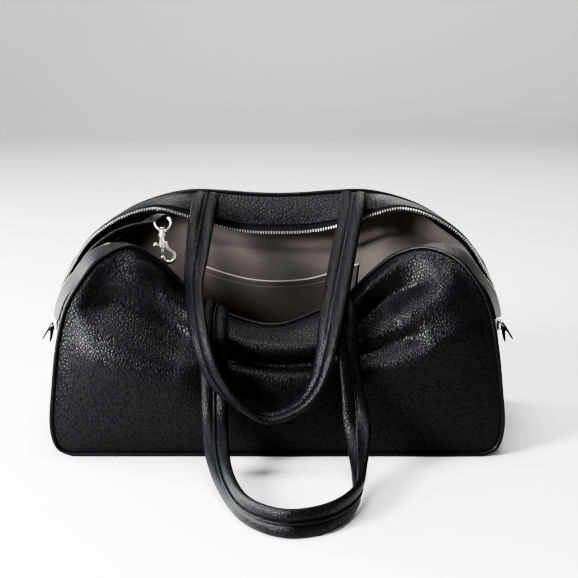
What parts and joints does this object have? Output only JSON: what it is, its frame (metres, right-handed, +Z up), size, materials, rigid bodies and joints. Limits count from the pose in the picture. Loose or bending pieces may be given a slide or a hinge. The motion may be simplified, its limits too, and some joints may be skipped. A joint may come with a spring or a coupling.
{
  "type": "leather bowling bag",
  "caption": "Black pebbled leather bowling bag standing open and slumped, with piped seams, rolled shoulder handles, a cloth lining, a slip pocket and a swivel key hook.",
  "frame": {"origin": "middle of the base's underside, on the floor", "axes": "+X to the right along the bag as the picture shows it, +Y from the front panel to the back panel, +Z up"},
  "size_m": [0.5192, 0.4462, 0.2585],
  "materials": {
    "pebbled_leather": "pebbled, satin",
    "smooth_leather": "smooth, satin",
    "lining_cloth": "woven, matt",
    "zip_tape": "woven, matt",
    "bright_metal": "polished nickel"
  },
  "bodies": {
    "bag": {"front_panel": "pebbled_leather", "back_panel": "pebbled_leather", "base_panel": "pebbled_leather", "side_gusset_left": "pebbled_leather", "side_gusset_right": "pebbled_leather", "zip_strip_front": "pebbled_leather", "zip_strip_back": "pebbled_leather", "handle_front": "pebbled_leather", "handle_back": "pebbled_leather", "piping_front": "smooth_leather", "piping_back": "smooth_leather", "pull_left": "smooth_leather", "pull_right": "smooth_leather", "key_strap": "smooth_leather", "lining_front": "lining_cloth", "lining_back": "lining_cloth", "lining_left": "lining_cloth", "lining_right": "lining_cloth", "lining_base": "lining_cloth", "slip_pocket": "lining_cloth", "zip_tape_front": "zip_tape", "zip_tape_back": "zip_tape", "zip_teeth_front": "bright_metal", "zip_teeth_back": "bright_metal", "slider_left": "bright_metal", "slider_right": "bright_metal"},
    "eye": {"hook_eye": "bright_metal"},
    "hook": {"hook_body": "bright_metal"},
    "bolt": {"hook_bolt": "bright_metal"}
  },
  "joints": [
    {"name": "eye_swing", "type": "hinge", "parent": "bag", "child": "eye", "pos_m": [-0.125, 0.002, 0.2362], "axis": [0.829, -0.5592, 0], "range_deg": [-12, 40]},
    {"name": "hook_swivel", "type": "hinge", "parent": "eye", "child": "hook", "pos_m": [-0.125, 0.002, 0.2214], "axis": [0, 0, 1], "continuous": true},
    {"name": "bolt_slide", "type": "slide", "parent": "hook", "child": "bolt", "axis": [0, 0, 1], "range_m": [0, 0.005], "stiffness_N_per_m": 250, "springref_m": -0.004}
  ]
}
